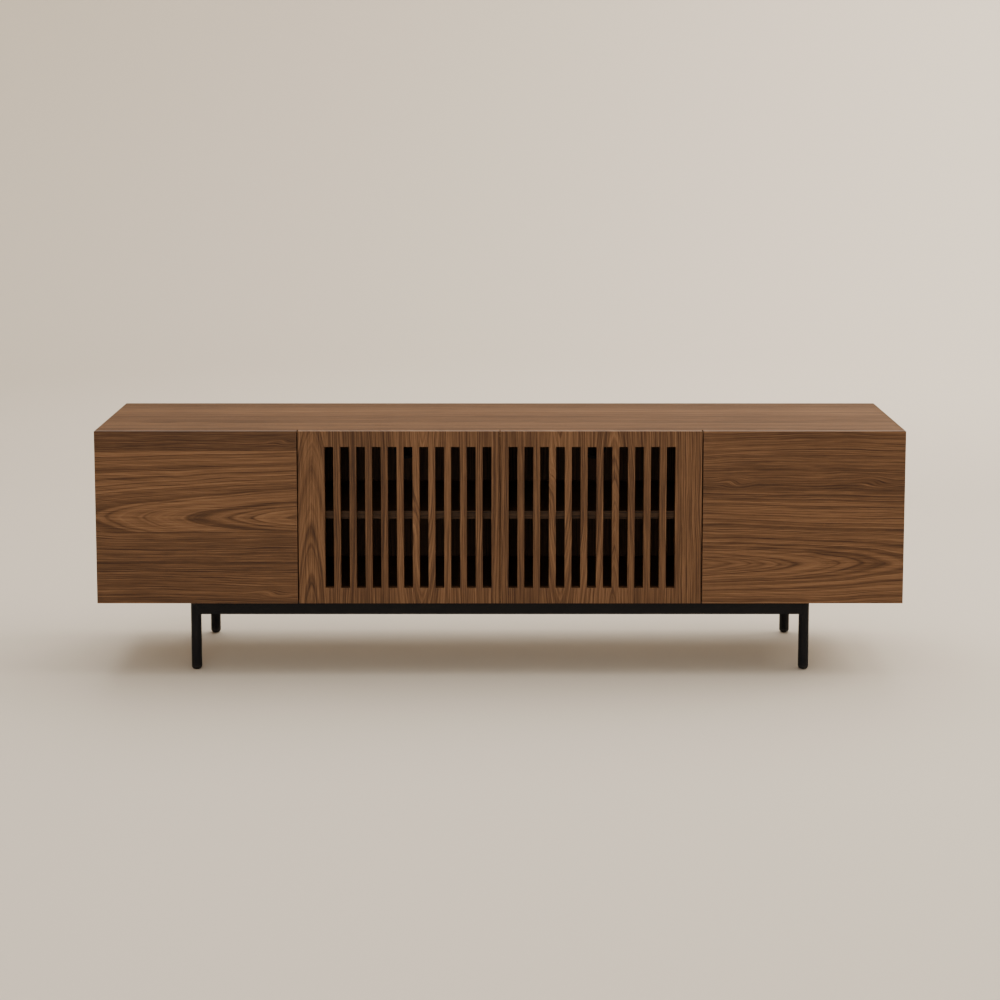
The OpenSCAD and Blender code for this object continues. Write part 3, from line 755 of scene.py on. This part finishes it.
def slatted_door(side, direction):
    """The blank of one slatted door with its slots and cup bores cut. `direction` points from the
    middle of the cabinet to the hinges."""
    low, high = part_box("door_slatted_" + side)
    size, middle = high - low, (low + high) / 2
    cups_low, cups_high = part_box("hinge_cups_slatted_" + side)
    meeting_edge = min(abs(low.x), abs(high.x))
    first_slot = direction * (meeting_edge + INNER_STILE + SLOT_WIDTH / 2)
    jig = Jig("slatted_door_jig", {
        "Door size": tuple(size),
        "Door middle": tuple(middle),
        "Slots": SLOTS,
        "Slot size": (SLOT_WIDTH, 2 * size.y, size.z - 2 * RAIL),
        "First slot": (first_slot, middle.y, middle.z),
        "Slot step": (direction * (SLOT_WIDTH + BAR_WIDTH), 0.0, 0.0),
        "Cup radius": CUP_RADIUS,
        "Cup depth": 2 * CUP_DEPTH,
        "First cup": ((cups_low.x + cups_high.x) / 2, high.y, low.z + CUP_FROM_END),
        "Cup step": (0.0, 0.0, size.z - 2 * CUP_FROM_END),
    })
    sizes = jig.inputs
    blank = jig.node("GeometryNodeTransform", {
        "Geometry": jig.node("GeometryNodeMeshCube", {"Size": sizes["Door size"]}),
        "Translation": sizes["Door middle"],
    })
    slot = jig.node("GeometryNodeMeshCube", {"Size": sizes["Slot size"]})
    slots = jig.repeated(slot, jig.row(sizes["Slots"], sizes["First slot"], sizes["Slot step"]))
    cup = jig.node("GeometryNodeTransform", {
        "Geometry": jig.node("GeometryNodeMeshCylinder", {
            "Vertices": CUP_SIDES, "Radius": sizes["Cup radius"], "Depth": sizes["Cup depth"]}),
        "Rotation": (math.pi / 2, 0.0, 0.0),
    })
    cups = jig.repeated(cup, jig.row(2, sizes["First cup"], sizes["Cup step"]))
    door = "door_slatted_" + side
    mesh = jig.run(door + "_blank", jig.cut(blank, slots, cups), BOARD_VENEER[door])
    return finish(door, BOARD_VENEER[door], mesh=mesh)


for side, direction in (("left", -1), ("right", 1)):
    door = slatted_door(side, direction)
    print(door.name, len(door.data.polygons), "faces")

# %% [markdown]
# ## Screws
#
# Pan-head screws with a cross recess: a short collar under a domed top, a core, a rolled thread wound
# round it, and a point. The frame has a plain blank for every screw. Each blank is measured for its
# place, its way and its sizes, and the jig sets a real screw there.

# %% Screws
THREAD_PITCH = 0.0016
POINT = 0.0025
POINT_TIP = 0.0001
HEAD_SIDES = 24
CORE_SIDES = 12
TURN_STEPS = 10
SAME_LEVEL = 2e-5
SCREW_ROUND_BELOW = 40  # degrees
# Shares of the shank's radius (core), the head's radius (dome, recess) or the head's height
CORE = 0.74
DOME_TOP = 0.72
RECESS_LENGTH = 1.05
RECESS_WIDTH = 0.2
RECESS_HEIGHT = 0.8
COLLAR_MIDDLE = 0.75
SECOND_WING = 0.9  # of the first one's height, so that their floors don't coincide


def islands(work):
    """The separate solids of a bmesh, each as a list of its corners."""
    left = set(work.verts)
    while left:
        found, waiting = [], [left.pop()]
        while waiting:
            corner = waiting.pop()
            found.append(corner)
            for edge in corner.link_edges:
                other = edge.other_vert(corner)
                if other in left:
                    left.remove(other)
                    waiting.append(other)
        yield found


def size_and_middle(corners):
    """The size and the middle of the box that holds some corners."""
    low = Vector(min(c.co[axis] for c in corners) for axis in range(3))
    high = Vector(max(c.co[axis] for c in corners) for axis in range(3))
    return high - low, (low + high) / 2


def measure_screw(corners):
    """The top of a screw's head, the way the screw points, and its sizes."""
    size, middle = size_and_middle(corners)
    axis = max(range(3), key=lambda i: size[i])
    head = max(size[i] for i in range(3) if i != axis) / 2
    levels = sorted({round(c.co[axis], 5) for c in corners})

    def spread(level):
        """How far the corners at one level lie from the screw's middle line."""
        at_level = [c.co for c in corners if abs(c.co[axis] - level) < SAME_LEVEL]
        return max(
            math.sqrt(sum((p[i] - middle[i]) ** 2 for i in range(3) if i != axis)) for p in at_level)

    head_is_low = spread(levels[0]) > spread(levels[-1])
    if not head_is_low:
        levels.reverse()
    top = middle.copy()
    top[axis] = levels[0]
    way = Vector((0.0, 0.0, 0.0))
    way[axis] = 1.0 if head_is_low else -1.0
    sizes = {
        "Head radius": head,
        "Head height": abs(levels[-2] - levels[0]),
        "Shank radius": spread(levels[-1]),
        "Length": abs(levels[-1] - levels[0]),
    }
    return top, way, sizes


def screws(node):
    """Real screws in place of all the blanks of one node."""
    work = cleaned(frame["nodes"][node].data)
    measured = [measure_screw(corners) for corners in islands(work)]
    work.free()
    start = bpy.data.meshes.new(node + "_places")
    start.from_pydata([top for top, way, sizes in measured], [], [])
    ways = start.attributes.new("way", "FLOAT_VECTOR", "POINT")
    for item, (top, way, sizes) in zip(ways.data, measured):
        item.vector = way

    sizes = measured[0][2]
    turns = (sizes["Length"] - sizes["Head height"] - POINT) / THREAD_PITCH
    jig = Jig("screw_jig", {**sizes, "Turns": turns})
    radius, height = jig.inputs["Head radius"], jig.inputs["Head height"]
    shank, length = jig.inputs["Shank radius"], jig.inputs["Length"]
    half = jig.sum(height, "MULTIPLY", 0.5)
    dome = jig.node("GeometryNodeMeshCone", {
        "Vertices": HEAD_SIDES, "Radius Bottom": jig.sum(radius, "MULTIPLY", DOME_TOP),
        "Radius Top": radius, "Depth": half})
    blade = jig.node("ShaderNodeCombineXYZ", {
        "X": jig.sum(radius, "MULTIPLY", RECESS_LENGTH),
        "Y": jig.sum(radius, "MULTIPLY", RECESS_WIDTH),
        "Z": jig.sum(height, "MULTIPLY", RECESS_HEIGHT)})
    wing = jig.node("GeometryNodeMeshCube", {"Size": blade})
    other_wing = jig.node("GeometryNodeTransform", {
        "Geometry": wing, "Rotation": (0.0, 0.0, math.pi / 2), "Scale": (1.0, 1.0, SECOND_WING)})
    collar = jig.moved(
        jig.node("GeometryNodeMeshCylinder", {
            "Vertices": HEAD_SIDES, "Radius": radius, "Depth": half}),
        jig.sum(height, "MULTIPLY", COLLAR_MIDDLE))
    core_length = jig.sum(jig.sum(length, "SUBTRACT", height), "SUBTRACT", POINT)
    core_radius = jig.sum(shank, "MULTIPLY", CORE)
    core = jig.moved(
        jig.node("GeometryNodeMeshCylinder", {
            "Vertices": CORE_SIDES, "Radius": core_radius, "Depth": core_length}),
        jig.sum(height, "ADD", jig.sum(core_length, "MULTIPLY", 0.5)))
    point = jig.moved(
        jig.node("GeometryNodeMeshCone", {
            "Vertices": CORE_SIDES, "Radius Bottom": core_radius, "Radius Top": POINT_TIP,
            "Depth": POINT}),
        jig.sum(length, "SUBTRACT", POINT))
    winding = jig.node("GeometryNodeCurveSpiral", {
        "Resolution": TURN_STEPS, "Rotations": jig.inputs["Turns"], "Start Radius": core_radius,
        "End Radius": core_radius, "Height": core_length})
    ridge = jig.node("GeometryNodeCurvePrimitiveCircle", {
        "Resolution": 3, "Radius": jig.sum(shank, "MULTIPLY", 1.0 - CORE)})
    thread = jig.moved(
        jig.node("GeometryNodeCurveToMesh", {
            "Curve": winding, "Profile Curve": ridge, "Fill Caps": True}), height)
    screw = jig.node("GeometryNodeJoinGeometry", {
        "Geometry": [jig.cut(jig.cut(dome, wing), other_wing), collar, core, point, thread]})
    way = jig.node(
        "GeometryNodeInputNamedAttribute", {"Name": "way"}, data_type="FLOAT_VECTOR")
    turned = jig.node("FunctionNodeAlignRotationToVector", {"Vector": way}, axis="Z")
    placed = jig.repeated(screw, jig.inputs["Start"], Rotation=turned)
    mesh = jig.run("real_" + node, placed, NICKEL, start)
    body = frame["nodes"][node]["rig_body"]
    place_piece(mesh, body, NICKEL, MATERIAL_SLOTS[node], [node], SCREW_ROUND_BELOW)
    return len(measured)


DOORS = ("plain_left", "slatted_left", "slatted_right", "plain_right")
for node in ("base_screws", "plate_screws", "latch_screws", *("cup_screws_" + d for d in DOORS)):
    print(node, screws(node))

# %% [markdown]
# ## Brushes in the cable holes
#
# A cable hole is closed by a brush: stiff nylon bristles set round the liner, all pointing to the
# middle. Cables push them aside, and dust and light stay out.

# %% Brushes in the cable holes
BRISTLES = 420
BRISTLE_ROOT = 0.0008
BRISTLE_TIP = 0.0004
BRISTLE_SIDES = 4
SHORTEST, LONGEST = 0.96, 1.06  # shares of the hole's radius
ASTRAY = (0.004, 0.004, 0.0035)  # how far a bristle's aim may miss the middle, in metres


def cable_brushes(node):
    """Bristles that fill the liners of the cable holes."""
    work = cleaned(frame["nodes"][node].data)
    middles = [size_and_middle(corners)[1] for corners in islands(work)]
    first = middles[0]
    inner = min(math.hypot(c.co.x - first.x, c.co.z - first.z) for c in work.verts)
    work.free()
    start = bpy.data.meshes.new(node + "_middles")
    start.from_pydata(middles, [], [])

    jig = Jig("brush_jig", {
        "Hole radius": inner, "Bristles": BRISTLES, "Root radius": BRISTLE_ROOT,
        "Tip radius": BRISTLE_TIP, "Seed": 11})
    sizes = jig.inputs
    rim = jig.node("GeometryNodeMeshCircle", {
        "Vertices": sizes["Bristles"], "Radius": sizes["Hole radius"]})
    bristle = jig.node("GeometryNodeMeshCone", {
        "Vertices": BRISTLE_SIDES, "Radius Bottom": sizes["Root radius"],
        "Radius Top": sizes["Tip radius"], "Depth": sizes["Hole radius"]})
    inward = jig.node("ShaderNodeVectorMath", {
        0: jig.node("GeometryNodeInputPosition"), "Scale": -1.0}, operation="SCALE")
    astray = jig.node("FunctionNodeRandomValue", {
        0: tuple(-v for v in ASTRAY), 1: ASTRAY, "Seed": sizes["Seed"]}, data_type="FLOAT_VECTOR")
    heading = jig.node("ShaderNodeVectorMath", {0: inward, 1: astray}, operation="ADD")
    turned = jig.node("FunctionNodeAlignRotationToVector", {"Vector": heading}, axis="Z")
    length = jig.node("FunctionNodeRandomValue", {
        2: SHORTEST, 3: LONGEST, "Seed": sizes["Seed"]}, output=1, data_type="FLOAT")
    ring = jig.repeated(bristle, rim, Rotation=turned, Scale=length)
    upright = jig.node("GeometryNodeTransform", {
        "Geometry": ring, "Rotation": (math.pi / 2, 0.0, 0.0)})
    brush = jig.repeated(upright, sizes["Start"])
    mesh = jig.run("cable_brushes", brush, NYLON, start)
    return place_piece(mesh, frame["nodes"][node]["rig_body"], NYLON, MATERIAL_SLOTS[node])


brushes = cable_brushes("cable_liners")
print("brushes:", len(brushes.data.polygons), "faces")

# %% [markdown]
# ## Base and fittings
#
# The base is welded from square and round steel tube and powder-coated after welding. The hinges are
# nickel-plated pressings. The latches, the feet and the cable liners are moulded in black nylon.

# %% Base and fittings
STEEL_EASE = 0.0006
MOULDED_EASE = 0.0003
SMALL_EASE = 0.0002
SHORT_EDGE = 0.004
ROUND_BELOW = 28  # degrees


def fit_out(material, ease, *nodes):
    """Finishes small fittings that share a material."""
    for node in nodes:
        finish(node, material, ease, SHORT_EDGE, ROUND_BELOW)


fit_out(
    POWDER, STEEL_EASE, "front_rail", "back_rail", "side_rail_left", "side_rail_right", "fixing_tabs",
    "leg_front_left", "leg_front_right", "leg_back_left", "leg_back_right")
fit_out(
    NYLON, MOULDED_EASE, "foot_glides", "latch_housings", "cable_liners",
    *("latch_plunger_" + door for door in DOORS))
for door in DOORS:
    fit_out(
        NICKEL, SMALL_EASE, "hinge_cups_" + door, "hinge_links_" + door, "strike_plate_" + door)
fit_out(NICKEL, SMALL_EASE, "hinge_arms", "hinge_plates", "shelf_pins")
fit_out(BEECH, SMALL_EASE, "dowels", "corner_tongues")

# %% [markdown]
# ## Studio
#
# The cabinet stands in a round paper sweep: a floor that curls up into a wall all the way round, so that
# no horizon shows from any side. A large lamp on the right draws the form. A broad one overhead lights
# the top and lays a soft shadow round the base. A weak one in front opens the shadows, and the last is
# turned to the paper behind.

# %% Studio
SWEEP_RADIUS = 7.5
SWEEP_CURL = 2.5
SWEEP_HEIGHT = 6.0
SWEEP_SIDES = 96
CURL_STEPS = 12
FLOOR_RINGS = (1.5, 3.0)
PAPER_TONE = (0.645, 0.578, 0.484, 1.0)
PAPER_ROUGHNESS = 0.9


def sweep_profile():
    """Flat floor, quarter round, upright wall, as (radius, height)."""
    flat = SWEEP_RADIUS - SWEEP_CURL
    profile = [(radius, 0.0) for radius in (*FLOOR_RINGS, flat)]
    for step in range(1, CURL_STEPS + 1):
        angle = math.pi / 2 * step / CURL_STEPS
        profile.append((flat + SWEEP_CURL * math.sin(angle), SWEEP_CURL * (1 - math.cos(angle))))
    return [*profile, (SWEEP_RADIUS, SWEEP_HEIGHT)]


def paper_sweep():
    """The profile turned round the cabinet."""
    work = bmesh.new()
    rings = []
    for radius, height in sweep_profile():
        angles = [math.tau * turn / SWEEP_SIDES for turn in range(SWEEP_SIDES)]
        rings.append([
            work.verts.new((radius * math.cos(angle), radius * math.sin(angle), height))
            for angle in angles
        ])
    work.faces.new(rings[0])
    for inner, outer in zip(rings, rings[1:]):
        for turn in range(SWEEP_SIDES):
            after = (turn + 1) % SWEEP_SIDES
            work.faces.new((inner[turn], outer[turn], outer[after], inner[after]))
    mesh = bpy.data.meshes.new("paper_sweep")
    work.to_mesh(mesh)
    work.free()
    mesh.shade_smooth()
    mesh.materials.append(
        Paint("warm_paper").set(Base_Color=PAPER_TONE, Roughness=PAPER_ROUGHNESS))
    sweep = bpy.data.objects.new("paper_sweep", mesh)
    bpy.context.scene.collection.objects.link(sweep)
    return sweep


def softbox(name, place, aim, size, power, colour):
    """A square lamp with a diffuser, turned to face a point."""
    light = bpy.data.lights.new(name, "AREA")
    light.shape = "SQUARE"
    light.size = size
    light.energy = power
    light.color = colour
    lamp = bpy.data.objects.new(name, light)
    lamp.location = place
    lamp.rotation_euler = (Vector(aim) - Vector(place)).to_track_quat("-Z", "Y").to_euler()
    bpy.context.scene.collection.objects.link(lamp)


def room_light(colour, strength):
    """A little light from everywhere, as a white room gives."""
    world = bpy.data.worlds.new("room")
    world.use_nodes = True
    backdrop = world.node_tree.nodes["Background"]
    backdrop.inputs["Color"].default_value = (*colour, 1.0)
    backdrop.inputs["Strength"].default_value = strength
    bpy.context.scene.world = world


paper_sweep()
softbox(
    "key", place=(4.2, 0.2, 3.7), aim=(0.2, 0.0, 0.3), size=3.2, power=215,
    colour=(1.0, 0.94, 0.86))
softbox(
    "overhead", place=(0.0, 1.6, 4.9), aim=(0.0, 0.2, 0.0), size=5.2, power=262,
    colour=(1.0, 0.95, 0.89))
softbox(
    "front", place=(-0.6, -5.8, 2.6), aim=(0.0, 0.0, 0.4), size=3.4, power=88,
    colour=(1.0, 0.97, 0.94))
softbox(
    "wall", place=(3.0, 3.4, 4.7), aim=(3.4, 7.3, 3.2), size=3.0, power=375,
    colour=(1.0, 0.95, 0.91))
room_light(colour=(1.0, 0.975, 0.945), strength=0.68)
print("lamps:", [light.name for light in bpy.data.lights])
